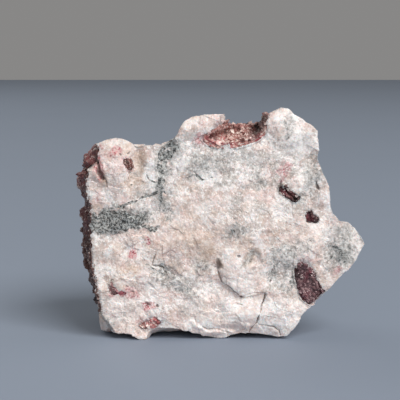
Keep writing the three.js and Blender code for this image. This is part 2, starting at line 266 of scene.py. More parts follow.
# Small pits, sunk into the face and darkened with painted shade.
PITS_WITH_PAINTED_SHADE = [
    (7.3, 29.7, 0.3, 0.45, 30, 0.9),
    (-33.6, 65.4, 0.35, 0.3, 0, 0.8),
    (-30.6, 66.0, 0.3, 0.35, 0, 0.8),
    (-37.0, 21.6, 0.35, 0.4, 0, 0.9),
    (-31.2, 19.4, 0.35, 0.3, 0, 0.8),
    (-29.4, 17.4, 0.3, 0.4, 0, 0.8),
    (27.4, 25.6, 0.7, 1.4, -20, 0.5),
    (18.0, 21.2, 0.4, 0.8, 0, 1.0),
    (18.6, 24.4, 0.3, 0.5, 0, 0.7),
    (34.0, 55.1, 0.5, 0.45, -20, 0.9),
    (34.9, 54.4, 0.9, 0.8, 0, 1.0),
    (-24.9, 12.4, 0.5, 0.5, 0, 1.0),
    (-21.5, 12.4, 0.5, 0.5, 0, 1.0),
    (0.1, 27.2, 1.3, 0.9, -50, 0.9),
    (8.0, 15.4, 0.6, 0.45, 20, 1.0),
    (12.1, 26.2, 0.5, 0.8, -30, 0.5),
    (-15.2, 69.0, 0.7, 0.7, 0, 0.6),
    (21.5, 55.2, 0.7, 1.3, 0, 0.8),
]

# Cracks are (half width, depth, points); points are x, z along the crack. The deeper a crack cuts,
# the darker the painted shade in it.
CRACKS = [
    (0.8, 1.8, [(-42.6, 65.0), (-41.4, 60.6), (-39.9, 57.4)]),
    (0.26, 0.9, [(-0.5, 26.0), (1.3, 20.6), (4.5, 18.8), (6.5, 16.7), (7.9, 15.3), (11.0, 16.4)]),
    (0.18, 0.4, [(11.0, 16.4), (12.4, 16.7), (16.6, 16.7)]),
    (0.24, 1.2, [(16.6, 16.7), (15.5, 13.2), (14.4, 9.4), (13.4, 6.3), (12.1, 4.5), (11.0, 2.8)]),
    (0.2, 0.7, [(6.2, 12.9), (8.6, 12.7)]),
    (0.22, 0.7, [(14.5, 5.2), (17.3, 5.0), (20.0, 4.5), (21.4, 3.1), (21.8, 1.4)]),
    (0.22, 0.6, [(-6.3, 5.4), (-3.8, 3.8), (2.0, 3.1), (3.8, 2.4)]),
    (0.25, 0.7, [(-21.8, 30.7), (-22.5, 28.3), (-22.8, 26.5), (-19.3, 26.0), (-18.3, 23.7)]),
    (0.22, 0.5, [(-8.3, 58.9), (-5.9, 56.8)]),
    (0.22, 0.4, [(19.7, 30.0), (19.1, 25.2), (17.1, 20.0)]),
    (0.25, 0.7, [(-40.3, 58.6), (-38.9, 57.0), (-38.3, 54.0)]),
]

# Veins of dark calcite are (half width, strength, points).
VEINS = [
    (1.5, 1.0, [(-15.3, 71.8), (-16.0, 66.9), (-18.7, 63.4)]),
    (0.9, 1.0, [(-18.7, 63.4), (-20.1, 60.0), (-18.7, 57.2), (-20.1, 54.4)]),
    (0.6, 0.8, [(-20.1, 54.4), (-19.4, 48.8), (-17.4, 42.6)]),
    (0.45, 0.9, [(-37.4, 46.9), (-31.9, 48.0), (-27.7, 49.8), (-23.6, 50.9), (-20.0, 52.6)]),
    (0.4, 0.9, [(-30.5, 54.6), (-29.5, 51.9), (-25.0, 51.2)]),
    (0.5, 0.8, [(3.2, 41.0), (5.6, 38.6), (8.4, 37.6)]),
    (0.5, 0.6, [(-24.6, 26.6), (-20.6, 24.6), (-17.0, 20.6), (-12.4, 18.0)]),
    (0.4, 1.0, [(-15.6, 73.2), (-14.0, 69.6), (-14.6, 66.2), (-16.2, 63.4)]),
    (0.4, 1.0, [(-17.6, 69.4), (-20.2, 65.0), (-21.0, 61.4), (-19.4, 59.0)]),
    (0.35, 1.0, [(-20.6, 57.4), (-19.2, 54.2), (-17.6, 51.0)]),
    (0.3, 0.8, [(-13.8, 56.0), (-11.0, 57.4), (-8.6, 58.4)]),
    (0.3, 0.8, [(-24.6, 58.4), (-23.4, 56.6), (-21.4, 56.0)]),
    (0.35, 0.5, [(17.4, 21.8), (20.6, 26.8), (23.0, 31.4)]),
    (0.35, 0.7, [(22.4, 77.6), (24.6, 73.6), (24.0, 70.6)]),
    (0.4, 0.8, [(40.6, 33.6), (42.8, 30.6), (41.8, 27.0)]),
    (0.35, 0.8, [(-8.6, 58.4), (-5.8, 56.8), (-2.4, 57.6)]),
]

# Ledges are (height, fade, points): below the line the face stands out by height, and fades
# back over fade further down.
LEDGES = [
    (0.8, 5.0, [(-9.3, 6.8), (-8.3, 6.3), (-4.5, 4.2), (3.9, 2.9), (5.7, 3.0)]),
    (0.2, 4.0, [(-6.3, 8.6), (2.6, 7.0), (8.7, 6.6), (12.1, 5.6)]),
    (-1.1, 6.0, [(-0.5, 26.0), (1.3, 20.6), (4.5, 18.8), (7.9, 15.3), (11.0, 16.4), (16.6, 16.7)]),
    (0.4, 6.0, [(-22.5, 26.6), (-18.9, 25.4), (-13.7, 22.0), (-8.3, 18.0), (-4.3, 14.0)]),
]

# Swells are broad bumps (or hollows) of the front face: (x, z, half width, half height, tilt in
# degrees, height).
SWELLS = [
    (-36.5, 61.5, 8.5, 8.0, 0, 1.3),
    (-28.6, 61.7, 2.6, 8.5, -8, -1.4),
    (-22.8, 59.0, 3.2, 6.0, 0, 0.8),
    (-17.6, 64.5, 2.4, 8.0, -8, -0.8),
    (-8.0, 74.8, 6.5, 4.5, 10, 1.2),
    (23.5, 75.0, 6.0, 6.0, 0, 0.8),
    (7.0, 24.6, 6.5, 7.5, 25, 1.1),
    (-4.8, 19.0, 5.0, 6.0, 20, -1.0),
    (-34.0, 14.6, 8.0, 6.0, 0, 0.7),
    (44.0, 34.5, 5.0, 5.0, 0, 0.7),
    (37.5, 33.0, 3.0, 8.0, -20, -0.9),
    (-20.0, 44.0, 6.0, 4.0, 0, -0.7),
    (14.0, 45.0, 10.0, 7.0, 20, 0.6),
    (10.8, 29.4, 2.4, 4.0, -35, -1.0),
    (-18.6, 24.8, 3.4, 2.6, -30, -1.2),
    (-12.0, 34.0, 9.0, 4.5, 10, 0.7),
    (21.5, 24.0, 3.5, 6.0, -15, -1.0),
    (30.0, 62.0, 4.0, 6.0, 0, -0.6),
]


def on_front(points):
    """1 on and just behind the front face, easing to 0 further back."""
    return smooth(FRONT + 7, FRONT + 2.5, points[:, 1])


def ellipse_reach(flat, x, z, half_x, half_z, tilt):
    """How far out each point lies in a tilted ellipse: 0 at its middle, 1 on its edge."""
    turn = math.radians(tilt)
    dx, dz = flat[:, 0] - x, flat[:, 1] - z
    along = (dx * math.cos(turn) + dz * math.sin(turn)) / half_x
    across = (dz * math.cos(turn) - dx * math.sin(turn)) / half_z
    return np.sqrt(along**2 + across**2)


def patches(points, table, seed):
    """How strongly the patches of a table cover each point, with ragged edges."""
    wander, grain, softness = 1.2, 0.22, 0.55
    warp = np.stack([fractal(points, 3.2, seed + axis) for axis in (0, 10)], axis=1)
    fine = fractal(points, 1.1, seed + 20)
    flat = points[:, [0, 2]] + wander * warp
    cover = np.zeros(len(points))
    for *ellipse, strength in table:
        reach = ellipse_reach(flat, *ellipse) + grain * fine
        cover = np.maximum(cover, strength * smooth(1 + softness, 1 - softness, reach))
    return cover


def swell_height(points):
    """How far the broad bumps stand out at each point, in mm."""
    flat = points[:, [0, 2]] + 1.5 * np.stack([noise(points, 6, 41), noise(points, 6, 42)], axis=1)
    height = np.zeros(len(points))
    for *ellipse, high in SWELLS:
        height += high * smooth(1.35, 0.3, ellipse_reach(flat, *ellipse))
    return height * on_front(points)


def nearest_on_line(flat, line):
    """Distance to a line of points, and how far below it each point is, negative above."""
    best = np.full(len(flat), np.inf)
    below = np.zeros(len(flat))
    for start, end in itertools.pairwise(np.array(line)):
        step = end - start
        share = np.clip(((flat - start) @ step) / (step @ step), 0, 1)
        gap = flat - (start + share[:, None] * step)
        distance = np.sqrt((gap**2).sum(axis=1))
        closer = distance < best
        best[closer] = distance[closer]
        below[closer] = -gap[closer, 1]
    return best, below


def crack_depth(points):
    """How deep the cracks cut at each point, in mm: uneven, and gone in places."""
    wander = 0.35 * np.stack([fractal(points, 1.8, 61), fractal(points, 1.8, 64)], axis=1)
    flat = points[:, [0, 2]] + wander
    uneven = smooth(-0.9, -0.1, fractal(points, 3.4, 63))
    depth = np.zeros(len(points))
    for half, deep, line in CRACKS:
        distance, _ = nearest_on_line(flat, line)
        depth = np.maximum(depth, deep * np.exp(-((distance / half) ** 2)))
    return depth * uneven * on_front(points)


def vein_cover(points):
    """How strongly the dark veins colour each point: wandering, and broken in places."""
    wander = 0.7 * np.stack([noise(points, 2.2, 65), noise(points, 2.2, 66)], axis=1)
    flat = points[:, [0, 2]] + wander
    whole = smooth(-0.5, 0.0, fractal(points, 2.4, 67))
    cover = np.zeros(len(points))
    for half, strength, line in VEINS:
        distance, _ = nearest_on_line(flat, line)
        cover = np.maximum(cover, strength * smooth(1.7, 0.6, distance / half))
    return cover * whole * on_front(points)


def ledge_height(points):
    """How far the ledges stand out at each point, in mm."""
    wander = np.stack([fractal(points, 3.0, 71), fractal(points, 3.0, 74)], axis=1)
    flat = points[:, [0, 2]] + 0.9 * wander
    height = np.zeros(len(points))
    for high, fade, line in LEDGES:
        first, last = line[0][0], line[-1][0]
        distance, below = nearest_on_line(flat, line)
        beside = smooth(first - 2, first + 1, flat[:, 0]) * smooth(last + 2, last - 1, flat[:, 0])
        height += high * beside * smooth(-0.4, 0.4, below) * smooth(fade, 0, distance)
    return height * on_front(points)


# -------- meshes and arrays


def mesh_arrays(mesh):
    """Positions in mm and normals of a mesh's vertices."""
    count = len(mesh.vertices)
    points = np.empty(count * 3, np.float32)
    normals = np.empty(count * 3, np.float32)
    mesh.vertices.foreach_get("co", points)
    mesh.vertex_normals.foreach_get("vector", normals)
    return points.reshape(-1, 3).astype(float) / MM, normals.reshape(-1, 3).astype(float)


def set_points(mesh, points):
    """Moves a mesh's vertices to these places, in mm."""
    mesh.vertices.foreach_set("co", (points * MM).astype(np.float32).ravel())
    mesh.update()


def add_value(mesh, name, values):
    """Stores one number per vertex, for the materials to read."""
    layer = mesh.attributes.new(name, "FLOAT", "POINT")
    layer.data.foreach_set("value", values.astype(np.float32))


def copy_of(node, name):
    """A copy of a CAD node's mesh as an object of its own, without the node's materials."""
    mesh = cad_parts[node].data.copy()
    mesh.name = name
    mesh.materials.clear()
    piece = bpy.data.objects.new(name, mesh)
    bpy.context.scene.collection.objects.link(piece)
    return piece


def apply_modifier(piece, kind, **settings):
    """Adds a modifier and bakes it into the piece's mesh."""
    modifier = piece.modifiers.new(kind.title(), kind)
    for key, value in settings.items():
        setattr(modifier, key, value)
    graph = bpy.context.evaluated_depsgraph_get()
    baked = bpy.data.meshes.new_from_object(piece.evaluated_get(graph))
    old = piece.data
    piece.modifiers.clear()
    piece.data = baked
    bpy.data.meshes.remove(old)


def shade_flat(mesh):
    """Gives every face its own shade, with crisp edges."""
    mesh.polygons.foreach_set("use_smooth", [False] * len(mesh.polygons))


def place(piece, node):
    """Makes a piece move with the root, and hides the CAD node that it stands in for."""
    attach(piece, "root")
    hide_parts(node)


# -------- materials


class Nodes:
    """Short ways to build a material's nodes."""

    def __init__(self, name):
        self.material = bpy.data.materials.new(name)
        self.material.use_nodes = True
        self.tree = self.material.node_tree
        self.tree.nodes.clear()
        output = self.tree.nodes.new("ShaderNodeOutputMaterial")
        self.shader = self.tree.nodes.new("ShaderNodeBsdfPrincipled")
        self.tree.links.new(self.shader.outputs[0], output.inputs[0])
        here = self.tree.nodes.new("ShaderNodeTexCoord").outputs["Object"]
        self.place = self.scaled(here, 1 / MM)
        self.normal = self.tree.nodes.new("ShaderNodeNewGeometry").outputs["Normal"]

    def put(self, socket, value):
        """Links a socket or sets its value."""
        if isinstance(value, bpy.types.NodeSocket):
            self.tree.links.new(value, socket)
        else:
            socket.default_value = value

    def add(self, kind, inputs=(), **settings):
        """A new node of a kind, with its inputs linked or set."""
        made = self.tree.nodes.new(kind)
        for key, value in settings.items():
            setattr(made, key, value)
        for key, value in dict(inputs).items():
            self.put(made.inputs[key], value)
        return made

    def vector(self, operation, first, second=(0, 0, 0)):
        """The result of an operation on two vectors."""
        inputs = {0: first, 1: second}
        return self.add("ShaderNodeVectorMath", inputs, operation=operation).outputs[0]

    def scaled(self, first, scale):
        """A vector made that many times longer."""
        inputs = {0: first, "Scale": scale}
        return self.add("ShaderNodeVectorMath", inputs, operation="SCALE").outputs[0]

    def math(self, operation, first, second=0.0, clamp=False):
        """The result of an operation on two numbers, kept from 0 to 1 if clamp is set."""
        inputs = {0: first, 1: second}
        made = self.add("ShaderNodeMath", inputs, operation=operation, use_clamp=clamp)
        return made.outputs[0]

    def noise(self, size, detail=3.0, roughness=0.55):
        """Noise from 0 to 1 with bumps about size mm across."""
        inputs = {"Vector": self.place, "Scale": 1 / size, "Detail": detail, "Roughness": roughness}
        return self.add("ShaderNodeTexNoise", inputs).outputs["Fac"]

    def grain(self, size):
        """A random colour for each grain about size mm across."""
        inputs = {"Vector": self.place, "Scale": 1 / size}
        return self.add("ShaderNodeTexVoronoi", inputs).outputs["Color"]

    def grain_numbers(self, size):
        """Three random numbers from 0 to 1 for each grain about size mm across."""
        return self.add("ShaderNodeSeparateColor", {0: self.grain(size)}).outputs

    def value(self, name):
        """One of the numbers that a mesh stores for each vertex."""
        return self.add("ShaderNodeAttribute", attribute_name=name).outputs["Fac"]

    def between(self, value, low, high, to_low=0.0, to_high=1.0):
        """Maps a value from low..high to to_low..to_high, eased and clamped."""
        inputs = {0: value, 1: low, 2: high, 3: to_low, 4: to_high}
        return self.add("ShaderNodeMapRange", inputs, interpolation_type="SMOOTHSTEP").outputs[0]

    def mix(self, share, first, second):
        """A colour that goes from first to second as share goes from 0 to 1."""
        made = self.add("ShaderNodeMix", data_type="RGBA", blend_type="MIX")
        self.put(made.inputs["Factor"], share)
        for socket, value in ((made.inputs[6], first), (made.inputs[7], second)):
            self.put(socket, value if isinstance(value, bpy.types.NodeSocket) else colour(value))
        return made.outputs[2]

    def tint(self, base, tint, mask, low, high, most):
        """The base colour, tinted by up to most as the mask goes from low to high."""
        return self.mix(self.between(mask, low, high, 0, most), base, tint)

    def wash(self, base, tint, mask, share):
        """The base colour, tinted by a share of the mask."""
        return self.mix(self.math("MULTIPLY", mask, share), base, tint)

    def broken_faces(self, *layers):
        """Tilts the surface its own way in each grain; a layer is a grain size and a tilt."""
        normal = self.normal
        for size, tilt in layers:
            way = self.vector("SUBTRACT", self.grain(size), (0.5, 0.5, 0.5))
            normal = self.vector("ADD", normal, self.scaled(way, 2 * tilt))
        self.put(self.shader.inputs["Normal"], self.vector("NORMALIZE", normal))

    def finish(self, **constants):
        """Sets the shader's constant values and gives the material."""
        for key, value in constants.items():
            self.shader.inputs[key.replace("_", " ")].default_value = value
        return self.material


def colour(code):
    """A linear colour with alpha from a hexadecimal screen colour."""
    screen = [int(code[i : i + 2], 16) / 255 for i in (0, 2, 4)]
    linear = [c / 12.92 if c <= 0.04045 else ((c + 0.055) / 1.055) ** 2.4 for c in screen]
    return (*linear, 1.0)


def mottled_ground(n, crumbs, clump):
    """Pink and cream ground with clumps of white sugar and clearer, greyer windows in it."""
    cool = n.math("MULTIPLY", n.value("cool"), 0.08)
    warm = n.math("MULTIPLY", n.value("warm"), 0.08)

    def cloud(size, crumb):
        """Noise with grainy edges, stronger in the cool areas and weaker in the warm ones."""
        grainy = n.math("ADD", n.noise(size, 5, 0.58), n.math("MULTIPLY", crumb, 0.06))
        return n.math("SUBTRACT", n.math("ADD", grainy, cool), warm)

    ground = n.mix(n.between(n.noise(12, 4), 0.42, 0.58), "e2d2c8", "e5cfc9")
    ground = n.tint(ground, "dfc2ba", n.noise(3.8, 5, 0.6), 0.46, 0.66, 0.6)
    honey = n.math("ADD", n.noise(4.6, 5), warm)
    ground = n.tint(ground, "d2bba8", honey, 0.5, 0.64, 0.6)
    ground = n.tint(ground, "f4ece8", clump[0], 0.5, 1, 0.35)
    ground = n.tint(ground, "c3b1a9", clump[1], 0.6, 1, 0.3)
    ground = n.tint(ground, "f6f1ee", cloud(5.0, crumbs[1]), 0.5, 0.62, 0.85)
    window = n.mix(n.value("cool"), "c8b8ae", "a9a8a3")
    ground = n.tint(ground, window, cloud(4.0, crumbs[0]), 0.56, 0.68, 0.65)
    ridge = n.math("ABSOLUTE", n.math("SUBTRACT", n.noise(6, 6, 0.6), 0.5))
    cooler = n.math("ADD", n.value("grey"), cool)
    seams = n.math("MULTIPLY", n.between(ridge, 0.0, 0.02, 1, 0), cooler)
    return n.mix(n.math("MULTIPLY", seams, 0.8, True), ground, "6d6e6b")


def single_grains(n, ground, speckle, crumbs):
    """Clear darker grains, dusty pale ones, rusty ones, and salt and pepper in the cool areas."""
    sugar = n.noise(1.5, 6, 0.8)
    ground = n.tint(ground, "faf6f3", sugar, 0.52, 0.68, 0.6)
    ground = n.tint(ground, "a79a93", sugar, 0.46, 0.34, 0.6)
    ground = n.tint(ground, "f8f3f0", speckle[0], 0.7, 1, 0.35)
    ground = n.tint(ground, "ab9a92", speckle[1], 0.7, 1, 0.3)
    ground = n.tint(ground, "fefcfa", crumbs[2], 0.75, 1, 0.5)
    ground = n.tint(ground, "a88f84", n.noise(1.3, 5, 0.7), 0.6, 0.7, 0.3)
    ground = n.wash(ground, "efe1da", n.value("calm"), 0.55)
    pepper = n.math("MULTIPLY", n.between(n.noise(0.9, 4, 0.8), 0.54, 0.6), n.value("cool"))
    ground = n.wash(ground, "70716e", pepper, 0.5)
    salty = n.math("MULTIPLY", n.between(n.noise(1.0, 4, 0.8), 0.46, 0.4), n.value("cool"))
    return n.wash(ground, "fdfbf9", salty, 0.55)


def coloured_patches(n, ground, crumbs):
    """The tan, white, grey, slate and rose patches, one over the other, then the dark painted shade
    in the cracks and small pits.
    """

    def patch(name, width, speckled=0.9, size=0.9):
        """A coloured patch with a grainy edge."""
        ragged = n.math("MULTIPLY", n.math("SUBTRACT", n.noise(size, 5, 0.7), 0.5), speckled)
        return n.between(n.math("ADD", n.value(name), ragged), 0.5 - width, 0.5 + width)

    tan = n.mix(n.noise(2.0), "b0937c", "cbb6a3")
    ground = n.wash(ground, tan, patch("tan", 0.45), 0.7)
    shaded = n.mix(n.value("cool"), "e8dad5", "dededc")
    white = n.mix(n.between(n.noise(1.7, 5, 0.7), 0.46, 0.62), "fdfaf8", shaded)
    white = n.tint(white, "cfc6c2", crumbs[0], 0.5, 1, 0.6)
    ground = n.wash(ground, white, patch("white", 0.35), 0.85)
    grey = n.mix(n.between(n.noise(1.1, 4, 0.75), 0.42, 0.6), "6c6e6b", "dddcd9")
    ground = n.wash(ground, grey, patch("grey", 0.4, 1.9, 1.6), 0.75)
    slate = n.mix(n.between(n.noise(0.8, 4, 0.8), 0.43, 0.58), "2c2e2d", "babbb8")
    ground = n.wash(ground, slate, patch("slate", 0.16, 1.2, 1.4), 0.95)
    rose = n.mix(n.between(crumbs[0], 0.1, 0.8), "a83a48", "e3b0b0")
    grained = n.math("MULTIPLY", patch("rose", 0.4), n.between(crumbs[1], 0.25, 0.6, 0.3, 0.95))
    ground = n.mix(grained, ground, rose)
    # Dark brown painted shade in the cracks and small pits.
    return n.wash(ground, "45302a", n.value("dark"), 0.85)


def stone_material():
    """Sugary calcite: rough and glassy grains, each tilted its own way, with light inside."""
    n = Nodes("pale_calcite")
    speckle, crumbs, clump = (n.grain_numbers(size) for size in (1.0, 0.5, 3.4))
    ground = mottled_ground(n, crumbs, clump)
    ground = single_grains(n, ground, speckle, crumbs)
    ground = coloured_patches(n, ground, crumbs)
    n.put(n.shader.inputs["Base Color"], ground)
    n.put(n.shader.inputs["Roughness"], n.between(speckle[2], 0.0, 1.0, 0.3, 0.75))
    n.broken_faces((3.4, 0.08), (1.3, 0.1), (0.5, 0.1))
    n.shader.inputs["Subsurface Radius"].default_value = (1.0, 0.75, 0.65)
    return n.finish(Specular_IOR_Level=0.5, Subsurface_Weight=0.5, Subsurface_Scale=0.0015)


def druse_material(name, deep, middle, tip, glow):
    """Glassy crystals: deep colour in the gaps as painted shade, paler towards their tips, painted
    glints on the palest ones, no two the same.
    """
    n = Nodes(name)
    # The ground between the crystals has a low tone, so the deep colour paints shade into the gaps.
    body = n.mix(n.value("tone"), deep, middle)
    body = n.wash(body, glow, n.value("red"), 0.7)
    body = n.mix(n.math("MULTIPLY", n.value("tip"), n.value("tone")), body, tip)
    body = n.tint(body, deep, n.noise(1.6, 3), 0.45, 0.65, 0.35)
    body = n.mix(n.between(n.value("tone"), 0.0, 0.12, 0.6, 0), body, "2a1614")
    # Painted glints: the palest crystals take on most of the tip colour.
    body = n.tint(body, tip, n.value("tone"), 0.88, 1.0, 0.7)
    # Near-black painted shade where the crust lies deeper or turns from the light, with some dark
    # specks of its own.
    body = n.wash(body, "1d1110", n.value("dark"), 0.85)
    n.put(n.shader.inputs["Base Color"], body)
    n.put(n.shader.inputs["Roughness"], n.between(n.noise(0.8, 2), 0.3, 0.7, 0.12, 0.4))
    n.broken_faces((0.4, 0.15))
    return n.finish(Specular_IOR_Level=0.6)


# -------- the stone

STONE_VOXEL = 0.31  # how finely the block is remeshed
STONE_FACES = 195_000  # how many triangles it is thinned out to
THINNER_BEHIND = 0.6  # how much more the sides and the back are thinned out than the front
LOWEST = 0.02  # the worn underside's height over the floor
VEIN_SLANT = np.array([[0.8, 0.1, 0.3], [0, 1, 0], [-0.5, 0, 0.8]])  # turns the veins behind
VEIN_STRETCH = [1, 0.7, 0.45]  # and draws them out
# The pits' colour is painted shade.
PIT_SEED = 400  # the edges of the small dark pits, in shape and in colour
CRUSTS = [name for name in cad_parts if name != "matrix"]
WIDE_POCKETS = ("top_pocket_crystals", "lower_right_pocket_crystals")
WIDE_LIP, NARROW_LIP = 1.05, 0.65  # how far the stone grows over the edge of a crust
WIDE_WANDER, NARROW_WANDER = 2.1, 1.2  # and how unevenly
LIP_REACH = 3.3  # how far from the crust the lip's growth begins
CRUST_REACH = 3.6  # how far from a crust its distance is still measured
WALL_SINK = 0.5  # how far the stone draws back under the crusts that cover it


def tree_of(mesh):
    """A tree of a mesh's faces in mm, for testing rays against."""
    corners = [Vector(point) for point in mesh_arrays(mesh)[0]]
    return BVHTree.FromPolygons(corners, [tuple(p.vertices) for p in mesh.polygons])


def way_to_crusts(points):
    """How far each point is from the nearest crust, or CRUST_REACH where that is further, the
    direction towards it, and how far the stone may grow over that crust's edge."""
    distance = np.full(len(points), CRUST_REACH)
    towards = np.zeros_like(points)
    lip = np.zeros(len(points))
    for name in CRUSTS:
        tree = tree_of(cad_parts[name].data)
        low, high = (np.array(corner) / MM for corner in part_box(name))
        near = np.all((points > low - CRUST_REACH) & (points < high + CRUST_REACH), axis=1)
        for index in np.flatnonzero(near):
            spot, _, _, found = tree.find_nearest(Vector(points[index]), CRUST_REACH)
            if found is not None and found < distance[index]:
                distance[index] = found
                towards[index] = (np.array(spot) - points[index]) / max(found, 1e-6)
                lip[index] = WIDE_LIP if name in WIDE_POCKETS else NARROW_LIP
    return distance, towards, lip


def plain_area(points):
    """1 where the front face broke along smooth cleavage near its foot, 0 where it is granular."""
    x, z = points[:, 0] + 1.5 * noise(points, 7, 91), points[:, 2] + 1.5 * noise(points, 7, 92)
    foot = smooth(17, 9, z + 0.12 * np.abs(x - 8)) * smooth(-14, -4, x)
    return foot * on_front(points)


def lip_growth(points, normals, distance, towards, lip):
    """How far the stone grows over the edge of a crust at each point, in mm, and how much of a
    pocket wall, hidden behind the crust, each point is."""
    facing = (normals * towards).sum(axis=1)
    wall = smooth(0.3, 0.75, facing) * smooth(0.9, 0.5, distance)
    wander = np.where(lip > NARROW_LIP, WIDE_WANDER, NARROW_WANDER) * fractal(points, 3.2, 95)
    uneven = np.clip(1.0 + wander + 0.9 * noise(points, 1.2, 98), 0.2, 2.3)
    return lip * uneven * smooth(LIP_REACH, 0.35, distance) * (1 - wall), wall


def stone_relief(points, wall):
    """How far the stone's surface stands out from the block's, in mm: broad waves, then broken
    faces from large to small, then what is named on the front face."""
    front, plain = on_front(points), plain_area(points)
    back = 1 - front
    wild = 0.8 + 0.5 * noise(points, 14, 2)
    relief = 0.5 * fractal(points, 9, 3) + 0.6 * back * fractal(points, 15, 6)
    relief += 0.75 * back * facets(points, 13, 24)
    relief += (0.25 + 0.35 * back) * wild * facets(points, 6.5, 10)
    relief += 0.35 * plain * facets(points, 8, 16)
    granular = wild * (1 - 0.5 * plain)
    relief += (0.2 + 0.15 * back) * granular * grain_relief(points, 2.9, 30)
    relief += 0.12 * granular * facets(points, 1.6, 50)
    relief += 0.07 * granular * facets(points, 0.9, 70)
    relief += swell_height(points) + ledge_height(points) - crack_depth(points)
    relief -= 0.4 * patches(points, PITS_WITH_PAINTED_SHADE, PIT_SEED) * front
    return (relief - 0.3 - 0.3 * back) * (1 - wall) - WALL_SINK * wall


def colour_masks(points, crust_distance):
    """Where the stone's coloured patches lie, as a mask for each colour. The dark mask is painted
    shade in the cracks and small pits.
    """
    front = on_front(points)
    veins = 0.7 * smooth(0.3, 0.6, fractal(points @ VEIN_SLANT * VEIN_STRETCH, 9, 81))
    clouds = 0.7 * smooth(0.25, 0.7, fractal(points, 10, 84))
    blushes = 0.6 * smooth(0.45, 0.7, fractal(points, 6, 87))
    stain = 0.5 * smooth(2.4, 0.6, crust_distance) * smooth(0.0, 0.6, fractal(points, 5, 90))
    pit_shade = patches(points, PITS_WITH_PAINTED_SHADE, PIT_SEED) * front

    def mask(table, seed, elsewhere):
        return patches(points, table, seed) * front + elsewhere * (1 - front)

    return {
        "grey": mask(GREY_PATCHES, 500, veins),
        "slate": np.maximum(mask(SLATE_PATCHES, 520, 0.9 * veins), vein_cover(points)),
        "white": mask(WHITE_PATCHES, 530, clouds),
        "rose": np.maximum(mask(ROSE_PATCHES, 560, blushes), stain),
        "tan": mask(TAN_PATCHES, 590, 0),
        "cool": mask(COOL_AREAS, 610, clouds),
        "warm": mask(WARM_AREAS, 640, 0.5),
        "calm": mask(CALM_AREAS, 670, 0.3),
        # Painted shade: dark in the small pits and in the cracks, the deeper the darker.
        "dark": np.maximum(pit_shade, 0.75 * smooth(0.3, 0.8, crack_depth(points))),
    }


def build_stone():
    """The block: remeshed finely, broken up, thinned out, and coloured."""
    stone = copy_of("matrix", "calcite_block")
    apply_modifier(stone, "REMESH", mode="VOXEL", voxel_size=STONE_VOXEL * MM)
    points, normals = mesh_arrays(stone.data)
    distance, towards, lip = way_to_crusts(points)
    lip, wall = lip_growth(points, normals, distance, towards, lip)
    points += normals * stone_relief(points, wall)[:, None] + towards * lip[:, None]
    points[:, 2] = np.maximum(points[:, 2], LOWEST)
    set_points(stone.data, points)
    stone.data.calc_loop_triangles()
    share = STONE_FACES / len(stone.data.loop_triangles)
    behind = stone.vertex_groups.new(name="behind")
    behind.add(np.flatnonzero(on_front(points) < 0.5).tolist(), 1.0, "REPLACE")
    steer = {"vertex_group": behind.name, "vertex_group_factor": THINNER_BEHIND}
    apply_modifier(stone, "DECIMATE", ratio=min(share, 1), **steer)
    shade_flat(stone.data)

    points, _ = mesh_arrays(stone.data)
    for name, mask in colour_masks(points, way_to_crusts(points)[0]).items():
        add_value(stone.data, name, mask)
    stone.data.materials.append(stone_material())
    place(stone, "matrix")


# -------- the druses

# The ground between the crystals is painted dark, as shade in the gaps.
GAP_SHADE_TONE = 0.2  # the ground between the crystals is as dark as their darker ones
THINNED = 1.3  # how much of a crust is missing in its bare patches
BARE_SINK = 2.0  # and how much lower its edge ends there
BARE_SEED = 760  # the edges of the bare patches, in shape and in crystals
ROOT = 0.1  # how deep the crystals stand in the ground
CLEARANCE = 0.9  # how much open space there is before each crystal
LEAN = 0.7  # how far crystals lean from upright
SIZE_SPREAD, HEIGHT_SPREAD = 0.45, 0.2  # how unlike each other they are
STONE_TREE = tree_of(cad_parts["matrix"].data)

# A calcite rhomb standing on one corner: its base and tip on the axis, three corners round each.
RHOMB_CORNERS = np.array(
    [(0, 0, -0.9)]
    + [(math.cos(a), math.sin(a), -0.25) for a in np.radians((0, 120, 240))]
    + [(math.cos(a), math.sin(a), 0.25) for a in np.radians((60, 180, 300))]
    + [(0, 0, 0.9)]
)
RHOMB_FACES = np.array(
    [(0, 4, 1, 6), (0, 5, 2, 4), (0, 6, 3, 5), (1, 4, 2, 7), (2, 5, 3, 7), (3, 6, 1, 7)]
)


def free_surface(piece, count, rng):
    """Random points on the piece that face open space, with their outward normals."""
    mesh = piece.data
    mesh.calc_loop_triangles()
    tris = np.empty(len(mesh.loop_triangles) * 3, np.int32)
    mesh.loop_triangles.foreach_get("vertices", tris)
    corners = mesh_arrays(mesh)[0][tris.reshape(-1, 3)]
    cross = np.cross(corners[:, 1] - corners[:, 0], corners[:, 2] - corners[:, 0])
    area = np.linalg.norm(cross, axis=1)
    normals = cross / np.maximum(area, 1e-12)[:, None]
    chosen = rng.choice(len(area), size=count, p=area / area.sum())
    u, v = rng.random((2, count))
    u, v = np.where(u + v > 1, 1 - u, u), np.where(u + v > 1, 1 - v, v)
    a, b, c = (corners[chosen, k] for k in range(3))
    spots = a + u[:, None] * (b - a) + v[:, None] * (c - a)
    facing = normals[chosen]
    free = [
        STONE_TREE.ray_cast(Vector(spot + 0.02 * way), Vector(way), CLEARANCE)[0] is None
        for spot, way in zip(spots, facing)
    ]
    return spots[free], facing[free]


def thin_out(spots, spacing):
    """Keeps points, first come first served, that stand at least spacing apart."""
    kept, taken = [], {}
    for index, spot in enumerate(spots):
        cell = tuple(np.floor(spot / spacing).astype(int))
        around = itertools.product(*[(c - 1, c, c + 1) for c in cell])
        near = (taken[key] for key in around if key in taken)
        if all(np.sum((spots[k] - spot) ** 2) > spacing**2 for ks in near for k in ks):
            taken.setdefault(cell, []).append(index)
            kept.append(index)
    return np.array(kept)


